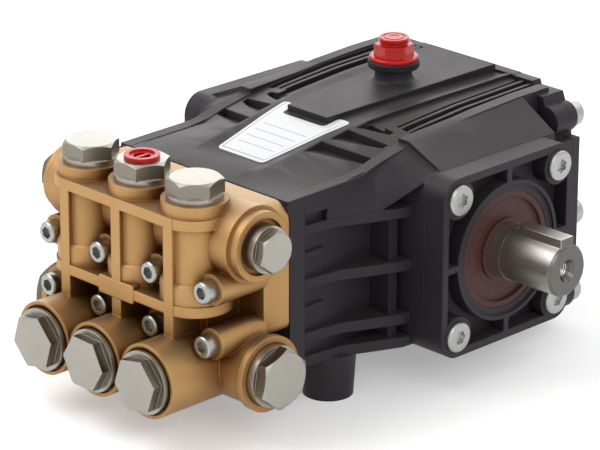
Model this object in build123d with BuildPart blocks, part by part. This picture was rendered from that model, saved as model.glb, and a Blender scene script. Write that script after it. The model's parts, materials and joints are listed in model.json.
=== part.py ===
from build123d import *
from math import atan2, cos, degrees, pi, radians, sin, tan
import os

# A triplex high-pressure plunger pump with a brass valve manifold and a finned crankcase.
# Millimetres. The origin is the middle of the four foot holes, on the plane that the feet stand on.
# +X points along the shaft to its keyed end, -Y to the manifold and +Z up.

# Feet
foot_spacing_x = 84.0
foot_spacing_y = 104.0
foot_radius = 11.3
foot_root_radius = 12.6
foot_hole_radius = 4.25
foot_hole_depth = 14.0

# Shaft axis, from the foot plane and from the middle of the foot holes
shaft_height = 60.0
shaft_setback = 18.0

# Crankcase, from the shaft axis
case_front = 106.0
case_rear = 60.0
case_bottom = 40.0
core_half_width = 47.5
front_top = 41.8
front_flange_half_width = 54.5
front_flange_depth = 9.0
front_flange_corner = 9.0

# The crowned deck, from the front: distance ahead of the shaft, half width and height of the channel's
# floor in the middle, half width and height of the crest beside it, and height at the side
deck_sections = (
    (106.0, 17.0, 41.8, 19.0, 41.9, 41.6),
    (94.5, 16.0, 43.8, 20.0, 43.3, 41.6),
    (84.0, 15.0, 43.6, 20.9, 45.1, 41.6),
    (70.0, 16.8, 46.2, 21.3, 47.2, 41.6),
    (62.0, 17.9, 47.7, 21.4, 48.4, 41.8),
    (50.0, 19.5, 50.0, 22.0, 50.3, 44.9),
    (35.0, 21.4, 52.2, 23.8, 52.3, 47.6),
    (15.0, 22.0, 53.0, 25.5, 53.5, 50.3),
    (-15.0, 22.6, 53.5, 27.1, 54.5, 52.8),
    (-60.0, 23.6, 54.2, 28.9, 55.3, 53.8),
)

# Scoops across the front of the deck: where each starts and ends ahead of the shaft, at the crest and
# at the rail, and how far out it reaches
scoops = (
    (67.0, 55.6, 53.5, 48.0, 46.8),
    (52.0, 40.5, 39.5, 36.0, 44.5),
    (37.0, 27.5, 29.5, 26.5, 39.0),
)
scoop_depth = 4.2

# Trench beside the crest with thin fins in it, and the rail outside it
ledge_front = 30.0
ledge_depth = 1.8
trench_front = 22.0
trench_inner = 33.5
trench_outer = 46.2
trench_depth = 5.0
fin_x = (37.5, 42.0)
fin_width = 1.8
fin_drop = 0.6
rail_lap = 0.7
rail_overhang = 5.5
outer_rail_heights = (
    (106.0, 41.8), (62.0, 42.2), (50.0, 45.5), (37.0, 48.0), (25.0, 49.9),
    (12.0, 51.3), (-14.0, 53.4), (-40.0, 54.5), (-60.0, 54.5),
)

# Raised centre platform that carries the oil filler
platform_front = 42.0
platform_front_half_width = 12.5
platform_rear_half_width = 20.3
platform_front_height = 54.3
platform_rear_height = 58.0
platform_thickness = 9.0

# Bearing housings and the sloped shoulders over them
housing_half_size = 42.0
housing_corner = 10.0
housing_face = 73.0
shoulder_height = 54.0
shoulder_drop = 3.0

# Horizontal cooling ribs on each side, the lowest along the bottom
side_rib_levels = (24.0, -1.0, -26.0, -37.0)
side_rib_thickness = 4.8
side_rib_outline = ((95.0, 1.5), (72.0, 4.5), (58.0, 11.0), (45.0, 16.5), (34.0, 17.0))
side_web_ahead = 48.0
side_web_width = 5.0
side_web_stand_out = 12.5
short_rib_levels = (12.0, -13.0)
short_rib = (17.0, 1.8, 3.0)

# Wing that sweeps from the housing's shoulder down to the top rib, from the rear: distance ahead of the
# shaft, height at the rail, and how far out and how high its lower edge is
wing_sections = ((32.0, 49.0, 24.0, 41.0), (42.0, 46.8, 22.5, 37.5), (55.0, 43.6, 11.5, 26.0),
                 (80.0, 41.2, 3.0, 26.0))

# Rear flange and cover
rear_half_width = 67.5
rear_bottom = 52.0
rear_corner = 8.0
rear_side_top = 33.0
rear_crown = ((0.0, 55.3), (30.5, 55.3), (31.5, 55.0), (42.8, 55.0), (43.6, 52.6), (56.5, 52.6), (58.5, 47.5))
rear_boss_x = 58.8
rear_boss_z = 41.2
rear_boss_radius = 7.2
rear_flange_depth = 8.0
rear_gasket_thickness = 1.0
rear_cover_thickness = 5.5
rear_cover_fillet = 1.2
rear_panel_depth = 2.0
rear_panel_inset = 14.0

# Bearing covers
cover_thickness = 11.2
left_cover_thickness = 7.7
cover_frame = 3.5
cover_ring_radius = 32.3
cover_floor = 3.2
cover_rib = 3.0
cover_boss_radius = 9.0
cover_screw_y = 32.2
cover_screw_z = 32.0
cover_rim_depth = 1.2
cover_rim_radius = 30.5

# Shaft seal, shaft and key
seal_radius = 27.0
seal_depth = 7.0
seal_recess = 1.5
seal_lip_radius = 14.5
seal_lip_depth = 1.6
journal_radius = 12.5
shaft_radius = 12.0
shaft_reach = 35.0
shaft_step = 5.5
shaft_chamfer = 1.2
shaft_centre_hole = 4.0
shaft_centre_depth = 20.0
shaft_centre_sink = 5.2
bearing_journal_radius = 15.0
running_gap = 0.05
key_width = 8.0
key_height = 7.0
key_stand_out = 3.3
key_start = 8.0
key_length = 25.0

# Manifold
cylinder_pitch = 33.0
cylinders = 3
gasket_thickness = 1.0
plate_half_width = 55.0
plate_thickness = 15.0
plate_top = 41.8
plate_bottom = 16.0
plate_corner = 9.0
plate_lower_corner = 4.0
valve_axis = 141.0
valve_radius = 13.8
valve_collar_radius = 14.7
valve_top = 48.2
valve_collar_height = 8.0
valve_bottom = 12.0
band_radius = 16.0
band_height = 4.8
upper_band = 38.0
lower_band = -1.0
strip_width = 5.6
strip_front = 157.0
chamber_radius = 15.4
chamber_top = 13.6
chamber_round = 3.0
head_screw_z = 12.3
head_screw_x = 16.5
head_boss_radius = 7.0
head_boss_front = 147.5
head_spot_radius = 5.6
head_spot_depth = 0.6
suction_radius = 16.7
suction_height = -27.8
suction_front = 170.0
suction_rim = 1.6
suction_recess = 2.4

# Outlet and inlet ports on the manifold's two ends
outlet_y = 129.0
outlet_z = 30.0
outlet_radius = 15.5
outlet_base_radius = 17.2
outlet_base_face = 57.0
outlet_face = 61.5
outlet_recess = 2.0
inlet_y = 127.5
inlet_z = -27.5
inlet_radius = 17.0
inlet_neck_radius = 15.6
inlet_face = 64.5
inlet_rim_length = 3.0
inlet_recess = 0.6
port_wall = 3.0
thread_gap = 0.1

# Hexagonal caps and plugs: width across flats, head height, collar radius and height, shank radius and
# length, and the radius of the flat face inside the turned corners
top_cap = (22.0, 6.8, 12.2, 2.3, 9.5, 12.0, 10.7)
front_cap = (22.0, 4.5, 14.2, 4.8, 11.0, 14.0, 12.3)
outlet_plug = (17.0, 4.3, 10.4, 6.7, 8.0, 12.0, 8.4)
inlet_plug = (24.0, 5.7, 13.8, 4.3, 10.5, 14.0, 11.9)
port_plug_turn = 21.0

# Gauge port in the middle top cap and its push-in plug
gauge_hole_radius = 5.2
gauge_hole_depth = 7.0
gauge_flange_radius = 7.8
gauge_flange_height = 1.7
gauge_dish_radius = 5.6
gauge_dish_depth = 0.9
gauge_wall = 1.4
gauge_bar = 1.4

# Oil filler
filler_y = -13.3
filler_boss_radius = 11.7
filler_boss_top = 62.8
filler_flange_radius = 11.2
filler_flange_height = 2.0
filler_hex = 16.0
filler_hex_height = 4.4
filler_neck_radius = 5.2
filler_neck_height = 4.0
filler_disc_radius = 7.0
filler_top = 77.0
filler_shank_radius = 7.0
filler_shank_length = 9.0

# Oil level glass and drain plug in the rear cover
glass_x = 0.0
glass_z = -4.0
glass_radius = 10.0
glass_ring_radius = 14.0
glass_ring_height = 3.0
drain_x = 0.0
drain_z = -37.0
drain_boss_radius = 10.0
drain_hex = 17.0
drain_head = 6.0
drain_shank_radius = 6.0
drain_face_radius = 8.0

shaft_y = shaft_setback
shaft_z = shaft_height
joint_y = shaft_y - case_front
rear_y = shaft_y + case_rear
cover_face = housing_face + cover_thickness
outer_rail_inner = core_half_width - rail_lap
outer_rail_outer = core_half_width + rail_overhang
columns = [cylinder_pitch * (i - (cylinders - 1) / 2) for i in range(cylinders)]
screw_columns = [-3 * head_screw_x, -head_screw_x, head_screw_x, 3 * head_screw_x]

shaft_plane = Plane(origin=(0, shaft_y, shaft_z), x_dir=(0, 1, 0), z_dir=(1, 0, 0))
front_plane = Plane(origin=(0, shaft_y, shaft_z), x_dir=(1, 0, 0), z_dir=(0, -1, 0))
deck_plane = Plane(origin=(0, shaft_y, shaft_z))

os.makedirs("parts", exist_ok=True)


def save(part, name):
    part.label = name
    export_step(part, f"parts/{name}.step")


def rail(inner, outer, heights, floor):
    """A long rail between two X places, added to the part being built. Its top is given from the front."""
    top = [(-ahead, height) for ahead, height in heights]
    with BuildSketch(shaft_plane.offset(inner)) as outline:
        Polygon(*top, (top[-1][0], floor), (top[0][0], floor), align=None)
    extrude(outline.sketch, amount=outer - inner)


def deck_section(ahead):
    """The deck's half widths and heights at a distance ahead of the shaft."""
    for front, rear in zip(deck_sections, deck_sections[1:]):
        if rear[0] <= ahead <= front[0]:
            share = (front[0] - ahead) / (front[0] - rear[0])
            return [a + (b - a) * share for a, b in zip(front, rear)][1:]
    raise ValueError(f"the deck doesn't reach {ahead}")


def deck_height(ahead, x):
    """The height of the sloped deck between its crest and its side."""
    crest_x, crest, side = deck_section(ahead)[2:]
    return crest + (side - crest) * (x - crest_x) / (core_half_width - crest_x)


def rear_outline(crown):
    """The rear joint's outline, on a plane that looks along -Y, with or without its stepped top."""
    with BuildSketch() as outline:
        with Locations((0, -rear_bottom)):
            Rectangle(2 * rear_half_width, rear_bottom + rear_side_top, align=(Align.CENTER, Align.MIN))
        fillet(outline.vertices().group_by(Axis.Y)[0], rear_corner)
        with Locations((-rear_boss_x, rear_boss_z), (rear_boss_x, rear_boss_z)):
            Circle(rear_boss_radius)
        with Locations((0, rear_side_top)):
            Rectangle(2 * (rear_boss_x + rear_boss_radius / 2), rear_boss_z - rear_side_top,
                      align=(Align.CENTER, Align.MIN))
        Polygon(*rear_crown, (rear_crown[-1][0], 0), (-rear_crown[-1][0], 0),
                *[(-x, z) for x, z in reversed(rear_crown[1:])], align=None)
        if not crown:
            with Locations((0, rear_side_top)):
                Rectangle(2 * outer_rail_inner, rear_crown[0][1], align=(Align.CENTER, Align.MIN),
                          mode=Mode.SUBTRACT)
    return outline.sketch


# Crankcase
with BuildPart() as crankcase:
    for ahead, floor_x, floor, crest_x, crest, side in deck_sections:
        with BuildSketch(front_plane.offset(ahead)):
            Polygon((0, -case_bottom), (core_half_width, -case_bottom), (core_half_width, side),
                    (crest_x, crest), (floor_x, floor), (0, floor), align=None)
    loft(ruled=True)
    with BuildSketch(front_plane.offset(case_front)):
        with Locations((0, (front_top - case_bottom) / 2)):
            RectangleRounded(2 * front_flange_half_width, front_top + case_bottom, front_flange_corner)
        with Locations((-front_flange_half_width, 0)):
            Rectangle(front_flange_half_width, 3 * case_front, align=(Align.MIN, Align.CENTER),
                      mode=Mode.SUBTRACT)
    extrude(amount=-front_flange_depth)
    # Scoops that cut across the slope, each deepest at its rear wall
    for inner_front, inner_rear, outer_front, outer_rear, outer_x in scoops:
        inner_x = deck_section(inner_rear)[2] + 1
        for x, front, rear in ((inner_x, inner_front, inner_rear), (outer_x, outer_front, outer_rear)):
            with BuildSketch(shaft_plane.offset(x)):
                Polygon((-front, deck_height(front, x)), (-rear, deck_height(rear, x) - scoop_depth),
                        (-rear, deck_height(rear, x) + scoop_depth),
                        (-front, deck_height(front, x) + scoop_depth), align=None)
        loft(ruled=True, mode=Mode.SUBTRACT)
    # Ledge outside the crest and the trench beside it, then the fins that stand in the trench
    for start, inner, outer, depth in ((ledge_front, None, trench_inner, ledge_depth),
                                       (trench_front, trench_inner, trench_outer, trench_depth)):
        for ahead in (start, deck_sections[-2][0], -case_rear - 1):
            at = max(ahead, -case_rear)
            near = deck_section(at)[2] + 0.6 if inner is None else inner
            with BuildSketch(front_plane.offset(ahead)):
                Polygon((near, deck_height(at, near) - depth), (outer, deck_height(at, outer) - depth),
                        (outer, case_front), (near, case_front), align=None)
        loft(ruled=True, mode=Mode.SUBTRACT)
    for x in fin_x:
        tops = [(ahead, deck_height(ahead, x) - fin_drop) for ahead in (trench_front + 1, *(
            row[0] for row in deck_sections if row[0] < trench_front))]
        rail(x - fin_width / 2, x + fin_width / 2, tops, front_top)
    rail(outer_rail_inner, outer_rail_outer, outer_rail_heights, front_top - front_flange_corner)
    # Bearing housing with the shoulder that slopes down to it from the outer rail
    with BuildSketch(shaft_plane.offset(core_half_width)):
        RectangleRounded(2 * housing_half_size, 2 * housing_half_size, housing_corner)
    extrude(amount=housing_face - core_half_width)
    for ahead, height in ((-housing_half_size, shoulder_height),
                          (housing_half_size - housing_corner, shoulder_height - shoulder_drop)):
        with BuildSketch(front_plane.offset(ahead)):
            Polygon((outer_rail_inner, height), (outer_rail_outer, height),
                    (housing_face, housing_half_size), (housing_face, 0), (outer_rail_inner, 0), align=None)
    loft(ruled=True)
    for ahead, height, stand_out, low in wing_sections:
        with BuildSketch(front_plane.offset(ahead)):
            Polygon((outer_rail_inner, height), (outer_rail_outer - 1, height),
                    (core_half_width + stand_out, low), (outer_rail_inner, low), align=None)
    loft(ruled=True)
    # Side ribs, widening from the front wall to the bearing housing
    for level in side_rib_levels:
        with BuildSketch(deck_plane.offset(level - side_rib_thickness / 2)):
            Polygon(*[(core_half_width + stand_out, -ahead) for ahead, stand_out in side_rib_outline],
                    (core_half_width - 1, -side_rib_outline[-1][0]),
                    (core_half_width - 1, -side_rib_outline[0][0]), align=None)
        extrude(amount=side_rib_thickness)
    # Upright web that joins the ribs ahead of the housing
    with Locations((core_half_width + side_web_stand_out / 2, shaft_y - side_web_ahead,
                    shaft_z + (side_rib_levels[0] + side_rib_levels[-1]) / 2)):
        Box(side_web_stand_out, side_web_width, side_rib_levels[0] - side_rib_levels[-1])
    # Short ribs beside the front flange
    length, stand_out, thickness = short_rib
    for level in short_rib_levels:
        with Locations((core_half_width, shaft_y + front_flange_depth - case_front, shaft_z + level)):
            Box(2 * stand_out, length, thickness, align=(Align.CENTER, Align.MIN, Align.CENTER))
    # Rear flange
    with BuildSketch(front_plane.offset(-case_rear)):
        add(rear_outline(False))
        with Locations((-rear_half_width, 0)):
            Rectangle(rear_half_width, 3 * case_front, align=(Align.MIN, Align.CENTER), mode=Mode.SUBTRACT)
    extrude(amount=rear_flange_depth)
    mirror(about=Plane.YZ)
    # Centre platform, sloping gently up to the rear
    rise = (platform_rear_height - platform_front_height) / (platform_front + case_rear)
    slope = degrees(atan2(rise, 1))
    run = platform_front + case_rear - platform_thickness * rise
    platform_plane = Plane(origin=(0, shaft_y - platform_front, shaft_z + platform_front_height)).rotated(
        (slope, 0, 0))
    with BuildSketch(platform_plane):
        Polygon((-platform_front_half_width, 0), (platform_front_half_width, 0),
                (platform_rear_half_width, run), (-platform_rear_half_width, run), align=None)
    extrude(amount=-platform_thickness)
    # Feet with tapped holes
    with GridLocations(foot_spacing_x, foot_spacing_y, 2, 2):
        Cone(foot_radius, foot_root_radius, shaft_height - case_bottom + 1,
             align=(Align.CENTER, Align.CENTER, Align.MIN))
    with Locations(Plane.XY.rotated((180, 0, 0))):
        with GridLocations(foot_spacing_x, foot_spacing_y, 2, 2):
            Hole(foot_hole_radius, depth=foot_hole_depth)
    # Oil filler boss with its hole, and the bore for the shaft
    with BuildSketch(deck_plane.offset(filler_boss_top)):
        with Locations((0, -filler_y)):
            Circle(filler_boss_radius)
    extrude(amount=platform_front_height - filler_boss_top)
    with Locations(deck_plane.offset(filler_boss_top)):
        with Locations((0, -filler_y)):
            Hole(filler_shank_radius + thread_gap, depth=filler_shank_length + 1)
    with BuildSketch(shaft_plane.offset(-housing_face)):
        Circle(bearing_journal_radius + running_gap)
    extrude(amount=2 * housing_face, mode=Mode.SUBTRACT)
save(crankcase.part, "crankcase")


def bearing_cover(thickness, bored):
    """A square cover on the shaft's +X end: a screwed frame round a bearing ring, with pockets between."""
    face = housing_face + thickness
    with BuildPart() as cover:
        with BuildSketch(shaft_plane.offset(housing_face)):
            RectangleRounded(2 * housing_half_size, 2 * housing_half_size, housing_corner)
        extrude(amount=thickness)
        with BuildSketch(shaft_plane.offset(face)):
            inside = 2 * (housing_half_size - cover_frame)
            RectangleRounded(inside, inside, housing_corner - cover_frame)
            Circle(cover_ring_radius, mode=Mode.SUBTRACT)
            with GridLocations(2 * cover_screw_y, 2 * cover_screw_z, 2, 2):
                Circle(cover_boss_radius, mode=Mode.SUBTRACT)
            Rectangle(cover_rib, 2 * housing_half_size, mode=Mode.SUBTRACT)
            Rectangle(2 * housing_half_size, cover_rib, mode=Mode.SUBTRACT)
        extrude(amount=cover_floor - thickness, mode=Mode.SUBTRACT)
        with BuildSketch(shaft_plane.offset(face)):
            Circle(cover_rim_radius)
        extrude(amount=-cover_rim_depth, mode=Mode.SUBTRACT)
        if bored:
            with BuildSketch(shaft_plane.offset(face)):
                Circle(seal_radius)
            extrude(amount=-seal_depth - seal_recess, mode=Mode.SUBTRACT)
            with BuildSketch(shaft_plane.offset(face)):
                Circle(journal_radius + running_gap)
            extrude(amount=-thickness, mode=Mode.SUBTRACT)
    return cover.part


with BuildPart() as bearing_cover_right:
    add(bearing_cover(cover_thickness, True))
save(bearing_cover_right.part, "bearing_cover_right")

with BuildPart() as bearing_cover_left:
    mirror(bearing_cover(left_cover_thickness, False), about=Plane.YZ)
save(bearing_cover_left.part, "bearing_cover_left")

# Shaft seal, pressed into the right cover
with BuildPart() as shaft_seal:
    with BuildSketch(shaft_plane.offset(cover_face - seal_recess)):
        Circle(seal_radius)
        Circle(journal_radius + running_gap, mode=Mode.SUBTRACT)
    extrude(amount=-seal_depth)
    with BuildSketch(shaft_plane.offset(cover_face - seal_recess)):
        Circle(seal_radius - cover_rib)
        Circle(seal_lip_radius, mode=Mode.SUBTRACT)
    extrude(amount=-seal_lip_depth, mode=Mode.SUBTRACT)
save(shaft_seal.part, "shaft_seal")

# Crankshaft: bearing journals inside, then the seal journal and the keyed drive end
shaft_end = cover_face + shaft_reach
with BuildPart() as crankshaft:
    with BuildSketch(shaft_plane.offset(-housing_face)):
        Circle(bearing_journal_radius)
    extrude(amount=2 * housing_face)
    with BuildSketch(shaft_plane.offset(housing_face)):
        Circle(journal_radius)
    extrude(amount=cover_thickness + shaft_step)
    with BuildSketch(shaft_plane.offset(cover_face + shaft_step)):
        Circle(shaft_radius)
    extrude(amount=shaft_reach - shaft_step)
    chamfer(crankshaft.edges().filter_by(GeomType.CIRCLE).sort_by(Axis.X)[-1], shaft_chamfer)
    with Locations(shaft_plane.offset(shaft_end)):
        CounterSinkHole(shaft_centre_hole, shaft_centre_sink, depth=shaft_centre_depth)
    with BuildSketch(deck_plane.offset(shaft_radius + key_stand_out)):
        with Locations((cover_face + key_start + key_length / 2, 0)):
            SlotOverall(key_length, key_width)
    extrude(amount=-key_height, mode=Mode.SUBTRACT)
save(crankshaft.part, "crankshaft")

with BuildPart() as shaft_key:
    with BuildSketch(deck_plane.offset(shaft_radius + key_stand_out)):
        with Locations((cover_face + key_start + key_length / 2, 0)):
            SlotOverall(key_length, key_width)
    extrude(amount=-key_height)
save(shaft_key.part, "shaft_key")


# Rear gasket and cover, with a recessed panel, an oil level glass and a drain plug
gasket_y = rear_y + rear_gasket_thickness
cover_y = gasket_y + rear_cover_thickness
back_plane = Plane(origin=(0, cover_y, shaft_z), x_dir=(-1, 0, 0), z_dir=(0, 1, 0))
with BuildPart() as rear_gasket:
    with BuildSketch(front_plane.offset(-case_rear)):
        add(rear_outline(True))
    extrude(amount=-rear_gasket_thickness)
save(rear_gasket.part, "rear_gasket")

with BuildPart() as rear_cover:
    with BuildSketch(front_plane.offset(-case_rear - rear_gasket_thickness)):
        add(rear_outline(True))
    extrude(amount=-rear_cover_thickness)
    fillet(rear_cover.faces().sort_by(Axis.Y)[-1].edges(), rear_cover_fillet)
    with BuildSketch(back_plane):
        with Locations((0, (rear_side_top - rear_bottom) / 2)):
            RectangleRounded(2 * (rear_half_width - rear_panel_inset),
                             rear_side_top + rear_bottom - rear_panel_inset, rear_corner)
        with Locations((glass_x, glass_z)):
            Circle(glass_ring_radius + 2, mode=Mode.SUBTRACT)
        with Locations((drain_x, drain_z)):
            Circle(drain_boss_radius, mode=Mode.SUBTRACT)
    extrude(amount=-rear_panel_depth, mode=Mode.SUBTRACT)
    with Locations(back_plane):
        with Locations((glass_x, glass_z)):
            Hole(glass_radius, depth=glass_ring_height)
        with Locations((drain_x, drain_z)):
            Hole(drain_shank_radius + thread_gap, depth=rear_cover_thickness)
save(rear_cover.part, "rear_cover")

with BuildPart() as sight_glass_ring:
    with BuildSketch(back_plane):
        with Locations((glass_x, glass_z)):
            Circle(glass_ring_radius)
            Circle(glass_radius, mode=Mode.SUBTRACT)
    extrude(amount=glass_ring_height)
    chamfer(sight_glass_ring.faces().sort_by(Axis.Y)[-1].edges(), 0.8)
save(sight_glass_ring.part, "sight_glass_ring")

with BuildPart() as sight_glass:
    with BuildSketch(back_plane.offset(-glass_ring_height)):
        with Locations((glass_x, glass_z)):
            Circle(glass_radius)
    extrude(amount=2 * glass_ring_height - 1)
save(sight_glass.part, "sight_glass")


def hex_cap(size, turn=0.0):
    """A hexagonal cap on the XY plane: collar at the seat, chamfered head above and shank below."""
    flats, head, collar, collar_height, shank, shank_length, face = size
    with BuildPart() as cap:
        with BuildSketch():
            Circle(collar)
        extrude(amount=collar_height)
        with BuildSketch(Plane.XY.offset(collar_height)):
            RegularPolygon(flats / 2, 6, major_radius=False, rotation=turn)
        extrude(amount=head)
        # The head's corners are turned off at 30 degrees
        corner = flats / 2 / cos(pi / 6)
        fall = (corner - face) * tan(radians(30))
        top = collar_height + head
        with BuildSketch(Plane.XZ):
            Polygon((face, top), (corner + 1, top), (corner + 1, top - fall - 1), (corner, top - fall),
                    align=None)
        revolve(axis=Axis.Z, mode=Mode.SUBTRACT)
        with BuildSketch():
            Circle(shank)
        extrude(amount=-shank_length)
    return cap.part


# Caps over the valves, on top of the manifold
side_names = ("left", "middle", "right")
top_turns = (2.5, 5.5, 46.5)
for name, x, turn in zip(side_names, columns, top_turns):
    seat = Plane(origin=(x, shaft_y - valve_axis, shaft_z + valve_top))
    with BuildPart() as top_valve_cap:
        add(seat.from_local_coords(hex_cap(top_cap, turn)))
        if name == "middle":
            with Locations(seat.offset(top_cap[1] + top_cap[3])):
                Hole(gauge_hole_radius, depth=gauge_hole_depth)
    save(top_valve_cap.part, f"top_valve_cap_{name}")

# Push-in plug in the middle cap's gauge port
gauge_seat = Plane(origin=(columns[1], shaft_y - valve_axis, shaft_z + valve_top + top_cap[1] + top_cap[3]))
with BuildPart() as gauge_port_plug:
    with BuildSketch(gauge_seat):
        Circle(gauge_flange_radius)
    extrude(amount=gauge_flange_height)
    with BuildSketch(gauge_seat):
        Circle(gauge_hole_radius - thread_gap)
    extrude(amount=1 - gauge_hole_depth)
    with BuildSketch(gauge_seat.offset(gauge_flange_height)):
        Circle(gauge_dish_radius)
    extrude(amount=-gauge_dish_depth, mode=Mode.SUBTRACT)
    with BuildSketch(gauge_seat.offset(gauge_flange_height)):
        Circle(gauge_hole_radius - gauge_wall)
        Rectangle(gauge_bar, 2 * gauge_hole_radius, mode=Mode.SUBTRACT)
    extrude(amount=-gauge_hole_depth / 2, mode=Mode.SUBTRACT)
save(gauge_port_plug.part, "gauge_port_plug")

# Caps on the suction valves, in front
front_turns = (13.0, -2.0, 11.0)
for name, x, turn in zip(side_names, columns, front_turns):
    seat = Plane(origin=(x, shaft_y - suction_front + suction_recess, shaft_z + suction_height),
                 x_dir=(1, 0, 0), z_dir=(0, -1, 0))
    with BuildPart() as front_valve_cap:
        add(seat.from_local_coords(hex_cap(front_cap, turn)))
    save(front_valve_cap.part, f"front_valve_cap_{name}")

# Plugs in the outlet and inlet ports on both ends of the manifold
plugs = (("outlet_plug", outlet_plug, outlet_y, outlet_z, outlet_face - outlet_recess),
         ("inlet_plug", inlet_plug, inlet_y, inlet_z, inlet_face - inlet_recess))
for name, size, ahead, height, face in plugs:
    seat = Plane(origin=(face, shaft_y - ahead, shaft_z + height), x_dir=(0, 1, 0), z_dir=(1, 0, 0))
    with BuildPart() as right_plug:
        add(seat.from_local_coords(hex_cap(size, port_plug_turn)))
    save(right_plug.part, f"{name}_right")
    with BuildPart() as left_plug:
        mirror(right_plug.part, about=Plane.YZ)
    save(left_plug.part, f"{name}_left")

drain_seat = Plane(origin=(drain_x, cover_y, shaft_z + drain_z), x_dir=(-1, 0, 0), z_dir=(0, 1, 0))
with BuildPart() as drain_plug:
    add(drain_seat.from_local_coords(
        hex_cap((drain_hex, drain_head, drain_boss_radius - 1, 1.5, drain_shank_radius, rear_cover_thickness - 1,
                 drain_face_radius))))
save(drain_plug.part, "drain_plug")

# Manifold gasket and the manifold casting
with BuildPart() as manifold_gasket:
    with BuildSketch(front_plane.offset(case_front)):
        with Locations((0, (plate_top - plate_bottom) / 2)):
            RectangleRounded(2 * (plate_half_width - 1), plate_top + plate_bottom - 1, plate_lower_corner)
    extrude(amount=gasket_thickness)
save(manifold_gasket.part, "manifold_gasket")

plate_back = case_front + gasket_thickness
plate_front = case_front + gasket_thickness + plate_thickness
with BuildPart() as manifold:
    with BuildSketch(front_plane.offset(plate_back)) as manifold_plate:
        with Locations((0, (plate_top - plate_bottom) / 2)):
            Rectangle(2 * plate_half_width, plate_top + plate_bottom)
        fillet(manifold_plate.vertices().group_by(Axis.Y)[-1], plate_corner)
        fillet(manifold_plate.vertices().group_by(Axis.Y)[0], plate_lower_corner)
    extrude(amount=plate_thickness)
    # Top block that carries the valve columns
    with BuildSketch(front_plane.offset(plate_back)):
        with Locations((0, plate_top)):
            Rectangle(2 * (plate_half_width - plate_corner), 2 * (plate_top - outlet_z),
                      align=(Align.CENTER, Align.MAX))
    extrude(amount=valve_axis - plate_back)
    # Valve columns with turned bands and collars
    with BuildSketch(deck_plane.offset(valve_bottom)):
        with Locations(*[(x, -valve_axis) for x in columns]):
            Circle(valve_radius)
    extrude(amount=valve_top - valve_bottom)
    with BuildSketch(deck_plane.offset(valve_top)):
        with Locations(*[(x, -valve_axis) for x in columns]):
            Circle(valve_collar_radius)
    extrude(amount=-valve_collar_height)
    for level in (upper_band, lower_band):
        with BuildSketch(deck_plane.offset(level)):
            with Locations(*[(x, -valve_axis) for x in columns]):
                Circle(band_radius)
            with Locations((0, -strip_front)):
                Rectangle(2 * cylinder_pitch + strip_width, band_radius,
                          align=(Align.CENTER, Align.MIN))
        extrude(amount=band_height)
    # Block behind the columns, and the webs in front of them
    with BuildSketch(deck_plane.offset(-plate_bottom)):
        with Locations((0, -valve_axis)):
            Rectangle(2 * cylinder_pitch + valve_radius, valve_axis - plate_back,
                      align=(Align.CENTER, Align.MIN))
    extrude(amount=plate_top + plate_bottom)
    with BuildSketch(deck_plane.offset(suction_height)):
        with Locations(*[(x, -strip_front) for x in columns]):
            Rectangle(strip_width, strip_front - valve_axis, align=(Align.CENTER, Align.MIN))
    extrude(amount=upper_band + band_height - suction_height)
    # Plunger chambers bulging below each column
    for x in columns:
        with BuildPart(mode=Mode.PRIVATE) as chamber:
            with BuildSketch(deck_plane.offset(lower_band)):
                with Locations((x, -valve_axis)):
                    Circle(chamber_radius)
            extrude(amount=chamber_top - lower_band)
            fillet(chamber.edges().group_by(Axis.Z)[-1], chamber_round)
        add(chamber.part)
    # Head screw bosses
    with BuildSketch(front_plane.offset(plate_front - 1)):
        with Locations(*[(x, z) for x in screw_columns for z in (-head_screw_z, head_screw_z)]):
            Circle(head_boss_radius)
    extrude(amount=head_boss_front - plate_front + 1)
    # Suction chambers with a recess for each cap
    with BuildSketch(front_plane.offset(plate_front - head_boss_radius)):
        with Locations(*[(x, suction_height) for x in columns]):
            Circle(suction_radius)
    extrude(amount=suction_front - plate_front + head_boss_radius)
    # Outlet and inlet galleries from end to end
    with BuildSketch(Plane.YZ.offset(-outlet_face)):
        with Locations((shaft_y - outlet_y, shaft_z + outlet_z)):
            Circle(outlet_radius)
    extrude(amount=2 * outlet_face)
    with BuildSketch(Plane.YZ.offset(-outlet_base_face)):
        with Locations((shaft_y - outlet_y, shaft_z + outlet_z)):
            Circle(outlet_base_radius)
    extrude(amount=2 * outlet_base_face)
    with BuildSketch(Plane.YZ.offset(-inlet_face)):
        with Locations((shaft_y - inlet_y, shaft_z + inlet_z)):
            Circle(inlet_neck_radius)
    extrude(amount=2 * inlet_face)
    for x in (-inlet_face, inlet_face - inlet_rim_length):
        with BuildSketch(Plane.YZ.offset(x)):
            with Locations((shaft_y - inlet_y, shaft_z + inlet_z)):
                Circle(inlet_radius)
        extrude(amount=inlet_rim_length)
    # Seats and threaded bores for the caps and plugs
    for x in columns:
        with Locations(Plane(origin=(x, shaft_y - valve_axis, shaft_z + valve_top))):
            Hole(top_cap[4] + thread_gap, depth=top_cap[5] + 1)
        with Locations(Plane(origin=(x, shaft_y - suction_front, shaft_z + suction_height),
                             x_dir=(1, 0, 0), z_dir=(0, -1, 0))):
            CounterBoreHole(front_cap[4] + thread_gap, suction_radius - suction_rim, suction_recess,
                            depth=suction_recess + front_cap[5] + 1)
    for side in (-1, 1):
        with Locations(Plane(origin=(side * outlet_face, shaft_y - outlet_y, shaft_z + outlet_z),
                             x_dir=(0, 1, 0), z_dir=(side, 0, 0))):
            CounterBoreHole(outlet_plug[4] + thread_gap, outlet_radius - port_wall, outlet_recess,
                            depth=outlet_recess + outlet_plug[5] + 1)
        with Locations(Plane(origin=(side * inlet_face, shaft_y - inlet_y, shaft_z + inlet_z),
                             x_dir=(0, 1, 0), z_dir=(side, 0, 0))):
            CounterBoreHole(inlet_plug[4] + thread_gap, inlet_radius - port_wall, inlet_recess,
                            depth=inlet_recess + inlet_plug[5] + 1)
save(manifold.part, "manifold")

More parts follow.
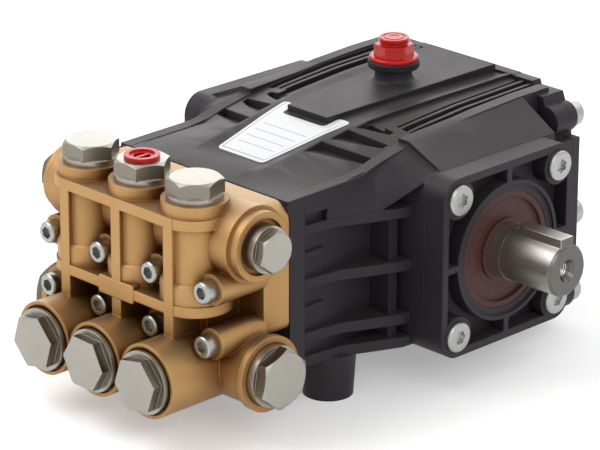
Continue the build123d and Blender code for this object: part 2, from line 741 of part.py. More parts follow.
# Oil filler plug: shank, flange, hexagon, neck and top disc
filler_seat = Plane(origin=(0, shaft_y - filler_y, shaft_z + filler_boss_top))
filler_flange_top = filler_flange_height + filler_hex_height
with BuildPart() as oil_filler_cap:
    with BuildSketch(filler_seat):
        Circle(filler_flange_radius)
    extrude(amount=filler_flange_height)
    with BuildSketch(filler_seat.offset(filler_flange_height)):
        RegularPolygon(filler_hex / 2, 6, major_radius=False)
    extrude(amount=filler_hex_height)
    with BuildSketch(filler_seat.offset(filler_flange_top)):
        Circle(filler_neck_radius)
    extrude(amount=filler_top - filler_boss_top - filler_flange_top)
    with BuildSketch(filler_seat.offset(filler_flange_top + filler_neck_height)):
        Circle(filler_disc_radius)
    extrude(amount=filler_top - filler_boss_top - filler_flange_top - filler_neck_height)
    with BuildSketch(filler_seat):
        Circle(filler_shank_radius)
    extrude(amount=-filler_shank_length)
save(oil_filler_cap.part, "oil_filler_cap")
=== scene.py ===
import json
from math import cos, pi, radians, sin

import bmesh
import bpy
from mathutils import Matrix, Vector


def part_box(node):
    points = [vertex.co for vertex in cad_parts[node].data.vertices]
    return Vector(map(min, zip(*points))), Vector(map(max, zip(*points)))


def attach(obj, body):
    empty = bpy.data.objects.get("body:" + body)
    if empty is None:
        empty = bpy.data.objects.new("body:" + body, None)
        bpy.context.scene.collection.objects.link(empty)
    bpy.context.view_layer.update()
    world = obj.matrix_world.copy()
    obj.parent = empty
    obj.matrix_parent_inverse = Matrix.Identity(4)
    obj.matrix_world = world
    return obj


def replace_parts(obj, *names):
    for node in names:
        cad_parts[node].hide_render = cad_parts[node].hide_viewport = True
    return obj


# The looks of a triplex high-pressure pump: finishes for its solids, its screws, its plate and the studio.
# Lengths are metres in the part's own frame. Names that end in _MM hold millimetres.

bl_info = {
    "name": "High-pressure pump looks",
    "version": (1, 0, 0),
    "blender": (4, 5, 0),
    "location": "3D View > Sidebar > Pump",
    "description": "Dresses a plunger pump's solids with finishes, screws, a blank plate and studio light",
    "category": "Object",
}

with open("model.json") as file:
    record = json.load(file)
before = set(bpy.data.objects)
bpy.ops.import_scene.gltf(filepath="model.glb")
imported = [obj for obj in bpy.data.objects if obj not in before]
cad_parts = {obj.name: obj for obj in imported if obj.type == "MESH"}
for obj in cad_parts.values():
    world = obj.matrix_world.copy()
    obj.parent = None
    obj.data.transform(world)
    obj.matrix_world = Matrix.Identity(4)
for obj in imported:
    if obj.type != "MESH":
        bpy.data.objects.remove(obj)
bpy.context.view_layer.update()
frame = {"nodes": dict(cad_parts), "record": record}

# The middle of the shaft, which the places in millimetres below are measured from
SHAFT = Vector((0.0, 0.018, 0.060))

# Turns a mesh that is made in millimetres to metres
TO_METRES = Matrix.Scale(0.001, 4)

# Across and up, where the eight manifold screws sit, and how far along Y their seats are
MANIFOLD_SCREWS_MM = [(x, z) for x in (-49.5, -16.5, 16.5, 49.5) for z in (-12.3, 12.3)]
MANIFOLD_SCREW_SEAT_MM = -147.5

# Along Y and up, where a bearing cover's screws sit, and across and up, where the rear cover's do
BEARING_COVER_SCREWS_MM = [(y, z) for y in (-32.2, 32.2) for z in (-32.0, 32.0)]
REAR_COVER_SCREWS_MM = [
    (-58.8, 41.2), (58.8, 41.2), (-60.5, -6.0), (60.5, -6.0), (-60.5, -44.0), (60.5, -44.0)]
COVER_SCREW_CLEARANCE = 0.0006

# The cast pad: its size, its middle, and the rounding of its corners and of its front rim
PAD_SIZE_MM = (22.2, 4.0, 8.4)
PAD_MIDDLE_MM = (0, -155.35, 1.2)
PAD_CORNER_MM = 1.1
PAD_RIM_MM = 0.45

# The shaft's step, where a line of painted shade stands for a groove, and how deep the centre hole's thread
# starts below the end
SHAFT_STEP = 0.0897
THREAD_START_MM = 1.3

# The key: where it starts, how far it stops short of the shaft's end, half its width, and its height range
KEY_START_MM, KEY_SETBACK_MM, KEY_HALF_WIDTH_MM = 92.2, 0.5, 4.0
KEY_BOTTOM_MM, KEY_TOP_MM = 8.3, 15.3

# The oil filler: its boss's foot, how far the platform tilts there, and the boss's top
FILLER_FOOT_MM = (0, 13.3, 56.27)
FILLER_TILT = 0.0356
FILLER_SEAT_MM = (0, 13.3, 62.8)

# Profiles of the filler from its foot or its seat, as radius and height. The neck's is what is cut away.
FILLER_NECK_MM = (
    (8.5, 8.0), (12.8, 8.0), (12.8, 0.03), (11.4, 0.08), (10.2, 0.4), (9.4, 0.9), (8.9, 1.6), (8.6, 2.6),
    (8.5, 4.0), (8.5, 8.0))
FILLER_RING_MM = (
    (7.3, 0.0), (11.4, 0.0), (11.8, 0.5), (11.8, 3.0), (11.3, 3.6), (7.3, 3.6), (7.3, 0.0))
FILLER_CAP_MM = (
    (0.0, -9.0), (6.5, -9.0), (7.0, -8.5), (7.0, 3.6), (10.9, 3.6), (11.2, 3.9), (11.2, 4.8), (10.7, 5.4),
    (8.2, 5.6), (6.0, 10.7), (6.0, 11.6), (6.9, 11.9), (7.0, 12.2), (7.0, 13.8), (6.7, 14.1), (5.4, 14.1),
    (5.2, 13.8), (4.5, 13.8), (4.3, 14.1), (2.4, 14.1), (2.2, 13.9), (0.0, 13.9))

# The red cap's hexagon: its corners' radius, the height it starts at, its own height, its turn and its bevel
NUT_RADIUS, NUT_START, NUT_HEIGHT, NUT_TURN, NUT_BEVEL = 0.0092, 0.0053, 0.0055, 0.3, 0.0005

# The deck's channel floor, as distance ahead of the shaft and height above it
CHANNEL_FLOOR_MM = ((84.0, 43.6), (70.0, 46.2), (62.0, 47.7), (50.0, 50.0), (35.0, 52.2))

# The right half of the plate's outline, as distance across and ahead, and the rounding of its corners
PLATE_HALF_MM = ((14.4, 83.7), (21.0, 35.3), (13.4, 35.3), (13.4, 45.0))
PLATE_CORNER_MM = 2.2

# What is printed on the plate, as distances across and ahead, and how far its sides lean in with distance
PLATE_LEAN = 0.137
BORDER_SIDE = 0.0160
BORDER_END = 0.0815
RULE_SPACING = 0.0058
RULE_HALF_LENGTH = 0.0128
RULES_FROM, RULES_TO = 0.0530, 0.0780

# The narrowest angle that stays sharp between faces, on most pieces and on those with broken edges
SHARP = radians(35)
SHARP_ON_BEVELS = radians(12)

# Colours that no setting changes, as linear values
# Painted light on the brass where it faces up
BRASS_LIT_ON_TOP = (0.42, 0.34, 0.24)
# Painted shade on the shaft, at its step and on its end
PAINTED_STEEL_SHADE = (0.045, 0.043, 0.043)
GASKET, GASKET_FIBRE = (0.008, 0.007, 0.009), (0.018, 0.016, 0.019)
CLEAR_GLASS = (0.75, 0.78, 0.76)
FOIL = (0.70, 0.71, 0.71)
PAPER, PAPER_SHADE = (0.90, 0.90, 0.90), (0.80, 0.80, 0.80)
WHITE = (1.0, 1.0, 1.0)

# The middle of each plating's roughness
NICKEL_ROUGHNESS, ZINC_ROUGHNESS = 0.27, 0.30

# Each lamp's name, place, width and power in watts
LAMPS = (
    ("key_light", (-0.9, -1.1, 1.9), 1.5, 26.0),
    ("fill_light", (1.9, -0.6, 1.2), 1.2, 12.0),
    ("rear_light", (0.2, 1.6, 1.5), 1.4, 7.0),
    ("low_back_light", (-1.25, 1.28, 0.78), 1.5, 11.0),
)

# The camera that took the photograph, worked out from the pump's own squares and circles
CAMERA_PLACE = (1.0439, -1.0589, 0.6209)
CAMERA_AZIMUTH, CAMERA_ELEVATION, CAMERA_ROLL = radians(45.366), radians(20.885), radians(0.188)
CAMERA_LENS, CAMERA_SENSOR = 209.44, 36.0


def from_shaft(x, y, z):
    """A point in the frame, from its distances in millimetres along X, Y and Z from the shaft's middle."""
    return SHAFT + Vector((x, y, z)) / 1000


def facing(direction, place, turn=0.0):
    """The placement that turns a piece's own +Z to a direction and moves it to a place."""
    turned = Vector((0, 0, 1)).rotation_difference(Vector(direction)).to_matrix().to_4x4()
    return Matrix.Translation(place) @ turned @ Matrix.Rotation(turn, 4, "Z")


class Number:
    """A number that varies over a surface. Arithmetic on it adds Math nodes."""

    def __init__(self, finish, socket):
        self.finish = finish
        self.socket = socket

    def math(self, operation, first, second):
        node = self.finish.node("ShaderNodeMath", {"operation": operation}, {0: first, 1: second})
        return Number(self.finish, node.outputs[0])

    def __add__(self, other):
        return self.math("ADD", self, other)

    def __radd__(self, other):
        return self.math("ADD", other, self)

    def __sub__(self, other):
        return self.math("SUBTRACT", self, other)

    def __rsub__(self, other):
        return self.math("SUBTRACT", other, self)

    def __mul__(self, other):
        return self.math("MULTIPLY", self, other)

    def __pow__(self, other):
        return self.math("POWER", self, other)

    def above(self, limit):
        return self.math("GREATER_THAN", self, limit)

    def below(self, limit):
        return self.math("LESS_THAN", self, limit)

    def at_least(self, limit):
        return self.math("MAXIMUM", self, limit)

    def at_most(self, limit):
        return self.math("MINIMUM", self, limit)

    def angle(self, other):
        return self.math("ARCTAN2", self, other)

    def distance(self, middle):
        return self.math("ABSOLUTE", self - middle, 0.0)

    def wrapped(self, period):
        return self.math("FLOORED_MODULO", self, period)


class Finish:
    """A material that is built node by node."""

    def __init__(self, name):
        self.material = bpy.data.materials.new(name)
        self.material.use_nodes = True
        self.tree = self.material.node_tree
        self.tree.nodes.clear()
        self.output = self.node("ShaderNodeOutputMaterial")
        self.shader = self.node("ShaderNodeBsdfPrincipled")
        self.tree.links.new(self.shader.outputs[0], self.output.inputs["Surface"])
        self.coordinates = self.node("ShaderNodeTexCoord").outputs["Object"]

    def node(self, kind, settings=None, inputs=None):
        """Adds a node: its settings first, then its sockets' values or links."""
        made = self.tree.nodes.new(kind)
        for name, value in (settings or {}).items():
            setattr(made, name, value)
        for name, value in (inputs or {}).items():
            self.feed(made.inputs[name], value)
        return made

    def feed(self, socket, value):
        """Links a number or another node's socket to a socket, or sets its value."""
        if isinstance(value, Number):
            self.tree.links.new(value.socket, socket)
        elif isinstance(value, bpy.types.NodeSocket):
            self.tree.links.new(value, socket)
        else:
            socket.default_value = value

    def set(self, **inputs):
        """Sets the shader's sockets, named with underscores for spaces."""
        for name, value in inputs.items():
            self.feed(self.shader.inputs[name.replace("_", " ")], value)

    def noise(self, scale, detail=2.0, roughness=0.5, stretch=(1.0, 1.0, 1.0)):
        """A soft random pattern. Scale is in features a metre, and stretch scales it along each axis."""
        mapping = self.node("ShaderNodeMapping", None, {"Vector": self.coordinates, "Scale": stretch})
        made = self.node("ShaderNodeTexNoise", None, {
            "Vector": mapping.outputs[0], "Scale": scale, "Detail": detail, "Roughness": roughness})
        return Number(self, made.outputs["Fac"])

    def axis(self, letter):
        """The place along an axis, in metres."""
        parts = self.node("ShaderNodeSeparateXYZ", None, {0: self.coordinates})
        return Number(self, parts.outputs[letter])

    def normal(self, letter):
        """How far the surface faces along an axis, from -1 to 1."""
        geometry = self.node("ShaderNodeNewGeometry").outputs["Normal"]
        return Number(self, self.node("ShaderNodeSeparateXYZ", None, {0: geometry}).outputs[letter])

    def mix(self, factor, first, second):
        """Blends two colours."""
        made = self.node("ShaderNodeMix", {"data_type": "RGBA"}, {0: factor, 6: first, 7: second})
        return made.outputs[2]

    def shut_in(self, distance):
        """1 in the open, falling to 0 in corners and pockets narrower than a distance."""
        made = self.node("ShaderNodeAmbientOcclusion", {"samples": 8}, {"Distance": distance})
        return Number(self, made.outputs["AO"])

    def relief(self, height, depth, edge=0.0):
        """Bumps of a depth in metres, over edges that are softened by a radius."""
        inputs = {"Height": height, "Distance": depth, "Strength": 1.0}
        if edge:
            inputs["Normal"] = self.node("ShaderNodeBevel", {"samples": 6}, {"Radius": edge}).outputs[0]
        self.set(Normal=self.node("ShaderNodeBump", None, inputs).outputs[0])


def rgba(colour, factor=1.0):
    """A colour with its alpha, as it is or darker or paler by a factor."""
    return (colour[0] * factor, colour[1] * factor, colour[2] * factor, 1.0)


def powder_coat(colour, colour_lit_on_top):
    """Satin powder coat on a casting: orange peel over sand grain, with painted light that makes it greyer
    where it faces up.
    """
    finish = Finish("powder_coat")
    peel = finish.noise(520)
    grain = finish.noise(2400, 3.0)
    cloud = finish.noise(45, 3.0)
    # Painted light: the coat turns paler and greyer the more it faces up.
    painted_light = finish.normal("Z").at_least(0.0) ** 6.0 * (0.62 + cloud * 0.5)
    finish.set(
        Base_Color=finish.mix(painted_light, rgba(colour), rgba(colour_lit_on_top)),
        Roughness=0.40 + cloud * 0.16 + grain * 0.06,
        Specular_IOR_Level=0.26)
    finish.relief(peel * 0.6 + grain * 0.4, 0.00012, edge=0.0007)
    return finish.material


def cast_brass(colour, shade):
    """Blasted brass casting: warm and satin in the open, with painted shade that makes it browner in its
    hollows and underneath, and painted light that makes it paler on top.
    """
    finish = Finish("blasted_brass")
    grain = finish.noise(2100, 3.0)
    pits = finish.noise(700, 3.0)
    cloud = finish.noise(60, 3.0)
    # Painted shade: browner in hollows, where ambient occlusion finds them, and on faces that look down.
    underside_shade = (0 - finish.normal("Z")).at_least(0.0)
    painted_shade = ((1 - finish.shut_in(0.020)) * 1.3 + cloud * 0.14 + underside_shade * 0.5).at_most(1.0)
    # Painted light: paler on faces that look up.
    painted_brass_light = finish.normal("Z").at_least(0.0) ** 5.0 * (0.40 + cloud * 0.3)
    lit = finish.mix(painted_brass_light, rgba(colour), rgba(BRASS_LIT_ON_TOP))
    finish.set(
        Base_Color=finish.mix(painted_shade, lit, rgba(shade)),
        Metallic=0.92,
        Roughness=0.40 + cloud * 0.14 + grain * 0.08)
    finish.relief(grain * 0.6 + pits * 0.4, 0.00010, edge=0.0009)
    return finish.material


def plated(name, colour, roughness, flats=None):
    """Satin plated steel with faint handling marks. Flats give the painted shade on a hexagon's flats, as its
    axis, the height where it starts along that axis, and its colour."""
    finish = Finish(name)
    scuffs = finish.noise(420, 4.0, 0.6)
    cloud = finish.noise(90, 3.0)
    base = finish.mix(cloud * 0.5, rgba(colour), rgba(colour, 0.8))
    if flats:
        axis, start, flats_painted_shade = flats
        # Painted shade: the hexagon's flats, which stand along the axis, are darkened towards the dark that
        # they reflect.
        side = finish.normal(axis).distance(0.0).below(0.35) * finish.axis(axis).distance(0.0).above(start)
        base = finish.mix(side * (0.70 + cloud * 0.4), base, rgba(flats_painted_shade))
    finish.set(
        Base_Color=base,
        Metallic=1.0,
        Roughness=roughness - 0.05 + cloud * 0.14 + scuffs * 0.06)
    finish.relief(scuffs, 0.00003, edge=0.0004)
    return finish.material


def ground_steel(colour, end):
    """A ground shaft: fine lines run round it, with painted shade on a line at its step and on the faces of
    its end.
    """
    finish = Finish("ground_shaft")
    lines = finish.noise(60, 3.0, 0.6, stretch=(260.0, 1.0, 1.0))
    cloud = finish.noise(110, 3.0)
    # Painted shade: a dark line at the step, where a groove would be, and a dark end face.
    groove_shade = finish.axis("X").distance(SHAFT_STEP).below(0.00035)
    end_shade = finish.normal("X").above(0.5) * finish.axis("X").above(end - 0.004)
    base = finish.mix(cloud * 0.5, rgba(colour), rgba(colour, 0.80))
    finish.set(
        Base_Color=finish.mix(groove_shade * 0.85 + end_shade * 0.82, base, rgba(PAINTED_STEEL_SHADE)),
        Metallic=1.0,
        Roughness=0.20 + lines * 0.14 + cloud * 0.08)
    finish.relief(lines, 0.000012, edge=0.0003)
    return finish.material


def seal_rubber(colour):
    """Brown moulded seal rubber, dull, with a faint bloom, moulded radial marks and fine rings."""
    finish = Finish("brown_seal")
    bloom = finish.noise(160, 4.0)
    grain = finish.noise(1500)
    along = finish.axis("Y") - SHAFT.y
    up = finish.axis("Z") - SHAFT.z
    radius = (along * along + up * up) ** 0.5
    spoke = up.angle(along).distance(0.0).wrapped(pi / 9)
    marks = (spoke * radius).below(0.0004) * radius.above(0.0185) * radius.below(0.0235)
    rings = radius.distance(0.0245).below(0.0003) + radius.distance(0.0170).below(0.0003)
    base = finish.mix(bloom, rgba(colour), rgba(colour, 1.5))
    finish.set(
        Base_Color=finish.mix(marks * 0.5 + rings * 0.4, base, rgba(colour, 0.4)),
        Roughness=0.46 + bloom * 0.16,
        Specular_IOR_Level=0.3)
    finish.relief(grain * 0.1 - marks - rings, 0.00025, edge=0.0004)
    return finish.material


def black_rubber():
    """Black gasket sheet."""
    finish = Finish("gasket_black")
    fibre = finish.noise(900, 3.0)
    finish.set(
        Base_Color=finish.mix(fibre, rgba(GASKET), rgba(GASKET_FIBRE)),
        Roughness=0.45 + fibre * 0.12,
        Specular_IOR_Level=0.25)
    finish.relief(fibre, 0.00004)
    return finish.material


def red_plastic(colour):
    """Glossy moulded plastic that light goes a little way into."""
    finish = Finish("moulded_red")
    flow = finish.noise(130)
    finish.set(
        Base_Color=finish.mix(flow, rgba(colour), rgba(colour, 0.86)),
        Roughness=0.22 + flow * 0.08,
        Subsurface_Weight=0.30,
        Subsurface_Radius=(0.004, 0.0006, 0.0004),
        Specular_IOR_Level=0.28,
        Coat_Weight=0.1,
        Coat_Roughness=0.08)
    finish.relief(flow, 0.00004, edge=0.0004)
    return finish.material


def oil_glass(colour):
    """Clear glass with oil behind it up to the middle of the window."""
    finish = Finish("oil_glass")
    ripple = finish.noise(50)
    level = finish.axis("Z").below(SHAFT.z - 0.0035)
    finish.set(
        Base_Color=finish.mix(level, rgba(CLEAR_GLASS), rgba(colour)),
        Roughness=0.05 + ripple * 0.05,
        Transmission_Weight=0.35,
        IOR=1.5,
        Coat_Weight=0.6)
    finish.relief(ripple, 0.00003, edge=0.0004)
    return finish.material


def blank_plate(ink):
    """A white printed foil with a thin border and ruled lines."""
    finish = Finish("blank_plate")
    speckle = finish.noise(900)
    ahead = SHAFT.y - finish.axis("Y")
    across = finish.axis("X").distance(0.0) + (ahead - 0.060) * PLATE_LEAN
    sides = across.distance(BORDER_SIDE).below(0.0003) * ahead.below(BORDER_END)
    end = ahead.distance(BORDER_END).below(0.0004) * across.below(BORDER_SIDE)
    rules = (ahead - 0.0500).wrapped(RULE_SPACING).below(0.0008) * across.below(RULE_HALF_LENGTH)
    rules = rules * ahead.above(RULES_FROM) * ahead.below(RULES_TO)
    printed = ((sides + end) * 0.8 + rules * 0.55).at_most(1.0)
    finish.set(
        Base_Color=finish.mix(printed, rgba(FOIL), rgba(ink)),
        Roughness=0.30 + speckle * 0.10)
    finish.relief(speckle, 0.00001)
    return finish.material


def background_rays(tree):
    """The socket that is 1 for rays that come from the camera, a reflection or clear glass."""
    path = tree.nodes.new("ShaderNodeLightPath")
    total = path.outputs["Is Camera Ray"]
    for name in ("Is Glossy Ray", "Is Transmission Ray"):
        sum_node = tree.nodes.new("ShaderNodeMath")
        sum_node.operation = "ADD"
        sum_node.use_clamp = True
        tree.links.new(total, sum_node.inputs[0])
        tree.links.new(path.outputs[name], sum_node.inputs[1])
        total = sum_node.outputs[0]
    return total


def floor_white():
    """A white floor that stays white for the camera and in reflections, and keeps soft shadows."""
    finish = Finish("studio_floor")
    paper = finish.noise(3)
    finish.set(
        Base_Color=finish.mix(paper * 0.04, rgba(PAPER), rgba(PAPER_SHADE)),
        Roughness=0.9,
        Specular_IOR_Level=0.1)
    plain = finish.shader.outputs[0]
    glow = finish.node("ShaderNodeEmission", None, {"Color": rgba(WHITE), "Strength": 0.32})
    glowing = finish.node("ShaderNodeAddShader", None, {0: plain, 1: glow.outputs[0]})
    shown = finish.node("ShaderNodeMixShader", None, {
        0: background_rays(finish.tree), 1: plain, 2: glowing.outputs[0]})
    finish.tree.links.new(shown.outputs[0], finish.output.inputs["Surface"])
    return finish.material


def placed(name, data):
    """Makes an object of a mesh, a lamp or a camera, and adds it to the scene."""
    made = bpy.data.objects.new(name, data)
    bpy.context.scene.collection.objects.link(made)
    return made


def face_outwards(bm):
    """Turns the faces of every closed shell outwards, by the sign of the volume that the shell holds."""
    bmesh.ops.recalc_face_normals(bm, faces=bm.faces)
    bm.normal_update()
    left = set(bm.faces)
    while left:
        shell = [left.pop()]
        for face in shell:
            beside = {other for edge in face.edges for other in edge.link_faces} & left
            left -= beside
            shell += beside
        if sum(face.calc_center_median().dot(face.normal) * face.calc_area() for face in shell) < 0:
            bmesh.ops.reverse_faces(bm, faces=shell)


def finished(name, bm, material, body, sharp=SHARP):
    """Makes an object of a bmesh, smooth except across sharp edges, that rides on a body."""
    bmesh.ops.remove_doubles(bm, verts=bm.verts, dist=1e-6)
    face_outwards(bm)
    for face in bm.faces:
        face.smooth = True
    for edge in bm.edges:
        edge.smooth = len(edge.link_faces) == 2 and edge.calc_face_angle(0.0) < sharp
    mesh = bpy.data.meshes.new(name)
    bm.to_mesh(mesh)
    bm.free()
    mesh.materials.append(bpy.data.materials[material])
    made = placed(name, mesh)
    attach(made, body)
    return made


def points_of(geometry):
    """The points in what a bmesh operation made."""
    return [item for item in geometry if isinstance(item, bmesh.types.BMVert)]


def turned(bm, profile, steps):
    """Spins a profile of (radius, height) points round +Z. Returns the ring of edges at its last point."""
    points = [bm.verts.new((radius, 0, height)) for radius, height in profile]
    lines = [bm.edges.new(pair) for pair in zip(points, points[1:])]
    bmesh.ops.spin(bm, geom=points + lines, cent=(0, 0, 0), axis=(0, 0, 1), angle=2 * pi, steps=steps,
                   use_merge=True, use_duplicate=False)
    radius, height = profile[-1]
    return [edge for edge in bm.edges if all(
        abs(vert.co.z - height) < 1e-7 and abs(vert.co.xy.length - radius) < 1e-6 for vert in edge.verts)]


def socket(bm, rim, height, outline, depth):
    """Closes a ring of edges with a flat face that has a blind socket of a given outline in it."""
    corners = [bm.verts.new((x, y, height)) for x, y in outline]
    mouth = [bm.edges.new(pair) for pair in zip(corners, corners[1:] + corners[:1])]
    bmesh.ops.triangle_fill(bm, use_beauty=True, edges=rim + mouth)
    walls = bmesh.ops.extrude_edge_only(bm, edges=mouth)["geom"]
    bmesh.ops.translate(bm, vec=(0, 0, -depth), verts=points_of(walls))
    bmesh.ops.contextual_create(bm, geom=[item for item in walls if isinstance(item, bmesh.types.BMEdge)])


def scaled(points):
    """Profile points in metres, from millimetres."""
    return [(radius / 1000, height / 1000) for radius, height in points]


def hexagon(flats):
    """A hexagon's corners, from its width across the flats."""
    radius = flats / 2 / cos(pi / 6)
    return [(radius * cos(pi / 3 * i), radius * sin(pi / 3 * i)) for i in range(6)]


def star(radius, lobe):
    """A six-lobed socket's outline."""
    steps = 36
    outline = []
    for i in range(steps):
        reach = radius + lobe * cos(12 * pi * i / steps)
        outline.append((reach * cos(2 * pi * i / steps), reach * sin(2 * pi * i / steps)))
    return outline


def socket_head_screw(radius, height, flats):
    """A socket head cap screw's head, with a knurled side, a chamfered rim and a hexagon socket."""
    bm = bmesh.new()
    steps = 72
    valley = 0.965
    chamfer = radius * 0.12
    profile = [
        (0, 0), (radius * 0.94, 0), (radius * 0.94, height * 0.06), (radius, height * 0.12),
        (radius, height * 0.80), (radius * valley, height * 0.86), (radius * valley, height - chamfer),
        (radius * valley - chamfer, height), (flats * 0.72, height)]
    rim = turned(bm, profile, steps)
    for vert in bm.verts:
        angle = vert.co.xy.angle_signed(Vector((1, 0)), 0.0) % (2 * pi)
        if round(angle / (2 * pi) * steps) % 2 and vert.co.xy.length > radius * 0.99:
            vert.co.xy *= valley
    socket(bm, rim, height, hexagon(flats), height * 0.55)
    return bm


def low_head_screw(radius, height, socket_radius):
    """A low round head with a softly rounded rim and a six-lobed socket."""
    bm = bmesh.new()
    straight, rounded = height * 0.45, height * 0.55
    profile = [(0, 0), (radius, 0), (radius, straight)]
    for i in range(1, 6):
        angle = pi / 2 * i / 5
        profile.append((radius - rounded * (1 - cos(angle)), straight + rounded * sin(angle)))
    profile.append((socket_radius * 1.35, height))
    rim = turned(bm, profile, 48)
    socket(bm, rim, height, star(socket_radius, socket_radius * 0.14), height * 0.7)
    return bm


def channel_height(ahead):
    """The height of the deck's channel floor at a distance ahead of the shaft, in millimetres."""
    for (front, low), (rear, high) in zip(CHANNEL_FLOOR_MM, CHANNEL_FLOOR_MM[1:]):
        if rear <= ahead <= front:
            return low + (high - low) * (front - ahead) / (front - rear)
    raise ValueError(f"the channel doesn't reach {ahead}")


def plate_on_channel(thickness):
    """A plate that follows the channel's floor, with a notch for the centre platform, in millimetres."""
    bm = bmesh.new()
    corners = [bm.verts.new((x, -ahead, 0)) for x, ahead in PLATE_HALF_MM]
    corners += [bm.verts.new((-x, -ahead, 0)) for x, ahead in reversed(PLATE_HALF_MM)]
    bm.faces.new(corners)
    bmesh.ops.bevel(bm, geom=corners, offset=PLATE_CORNER_MM, segments=5, profile=0.5, affect="VERTICES",
                    material=-1)
    for ahead, _ in CHANNEL_FLOOR_MM[1:-1]:
        bmesh.ops.bisect_plane(bm, geom=bm.verts[:] + bm.edges[:] + bm.faces[:], plane_co=(0, -ahead, 0),
                               plane_no=(0, 1, 0))
    bmesh.ops.triangulate(bm, faces=bm.faces)
    for vert in bm.verts:
        vert.co.z = channel_height(-vert.co.y) + thickness
    sunk = bmesh.ops.extrude_face_region(bm, geom=bm.faces[:])["geom"]
    bmesh.ops.translate(bm, vec=(0, 0, -thickness * 1.5), verts=points_of(sunk))
    bm.transform(Matrix.Translation(SHAFT) @ TO_METRES)
    return bm


def key_blank(start, end, half_width, bottom, top):
    """A parallel key, round at its inner end and square at its outer end, with its edges just broken.
    Its places are millimetres from the shaft's middle."""
    bm = bmesh.new()
    steps = 14
    arc = [(start + half_width - half_width * sin(pi * i / steps), -half_width * cos(pi * i / steps))
           for i in range(steps + 1)]
    outline = [bm.verts.new((x, y, bottom)) for x, y in (*arc, (end, half_width), (end, -half_width))]
    face = bm.faces.new(outline)
    raised = bmesh.ops.extrude_face_region(bm, geom=[face])["geom"]
    bmesh.ops.translate(bm, vec=(0, 0, top - bottom), verts=points_of(raised))
    bmesh.ops.bevel(bm, geom=[edge for edge in bm.edges if edge.calc_face_angle(0.0) > radians(50)],
                    offset=0.35, segments=2, profile=0.5, affect="EDGES", material=-1)
    bm.transform(Matrix.Translation(SHAFT) @ TO_METRES)
    return bm


def thread_sleeve(radius, depth, pitch, length):
    """The thread cut into a bore: a thin sleeve with a sawtooth inside, closed at its outer side."""
    bm = bmesh.new()
    turns = int(length / pitch)
    outside = radius + 0.00006
    profile = [(outside, 0), (radius, 0)]
    for i in range(turns):
        profile += [(radius - depth * 0.15, -i * pitch - pitch * 0.1),
                    (radius - depth, -i * pitch - pitch * 0.5),
                    (radius - depth * 0.15, -i * pitch - pitch * 0.9)]
    profile += [(radius, -turns * pitch), (outside, -turns * pitch), (outside, 0)]
    turned(bm, profile, 40)
    return bm


def filler_cap():
    """The red plug, with a hexagon round its waist."""
    bm = bmesh.new()
    turned(bm, scaled(FILLER_CAP_MM), 72)
    bmesh.ops.remove_doubles(bm, verts=bm.verts, dist=1e-6)
    start = Matrix.Translation((0, 0, NUT_START)) @ Matrix.Rotation(NUT_TURN, 4, "Z")
    nut = bmesh.ops.create_circle(bm, cap_ends=True, segments=6, radius=NUT_RADIUS, matrix=start)
    base = [face for face in bm.faces if all(vert in nut["verts"] for vert in face.verts)]
    raised = bmesh.ops.extrude_face_region(bm, geom=base, use_keep_orig=True)["geom"]
    lid = points_of(raised)
    bmesh.ops.translate(bm, vec=(0, 0, NUT_HEIGHT), verts=lid)
    rim = [edge for edge in bm.edges if all(vert in lid for vert in edge.verts)]
    bmesh.ops.bevel(bm, geom=rim, offset=NUT_BEVEL, segments=2, profile=0.5, affect="EDGES", material=-1)
    return bm


def seats(places, direction, radius, depth):
    """Round plugs that cut a seat of a depth at each place."""
    bm = bmesh.new()
    for place in places:
        bmesh.ops.create_cone(bm, cap_ends=True, segments=48, radius1=radius, radius2=radius,
                              depth=2 * depth, matrix=facing(direction, place))
    return bm


def flare_round(place, tilt):
    """A ring that turns a straight boss into a neck that flares out into what carries it."""
    bm = bmesh.new()
    turned(bm, scaled(FILLER_NECK_MM), 64)
    bmesh.ops.remove_doubles(bm, verts=bm.verts, dist=1e-6)
    face_outwards(bm)
    bm.transform(Matrix.Translation(place) @ Matrix.Rotation(tilt, 4, "X"))
    return bm


def carved(name, cutter):
    """A merged copy of a solid, less a cutter. The cut runs on copies, so the solid's own mesh stays."""
    whole = bmesh.new()
    whole.from_mesh(frame["nodes"][name].data)
    bmesh.ops.remove_doubles(whole, verts=whole.verts, dist=1e-6)
    pair = []
    for label, bm in (("whole", whole), ("cutter", cutter)):
        mesh = bpy.data.meshes.new(label)
        bm.to_mesh(mesh)
        bm.free()
        pair.append(placed(label, mesh))
    cut = pair[0].modifiers.new("cut", "BOOLEAN")
    cut.operation = "DIFFERENCE"
    cut.solver = "EXACT"
    cut.object = pair[1]
    bpy.context.view_layer.update()
    result = bmesh.new()
    result.from_mesh(bpy.data.meshes.new_from_object(
        pair[0].evaluated_get(bpy.context.evaluated_depsgraph_get())))
    for item in pair:
        bpy.data.objects.remove(item)
    if not result.faces:
        raise RuntimeError(f"the cut left nothing of {name}")
    return result


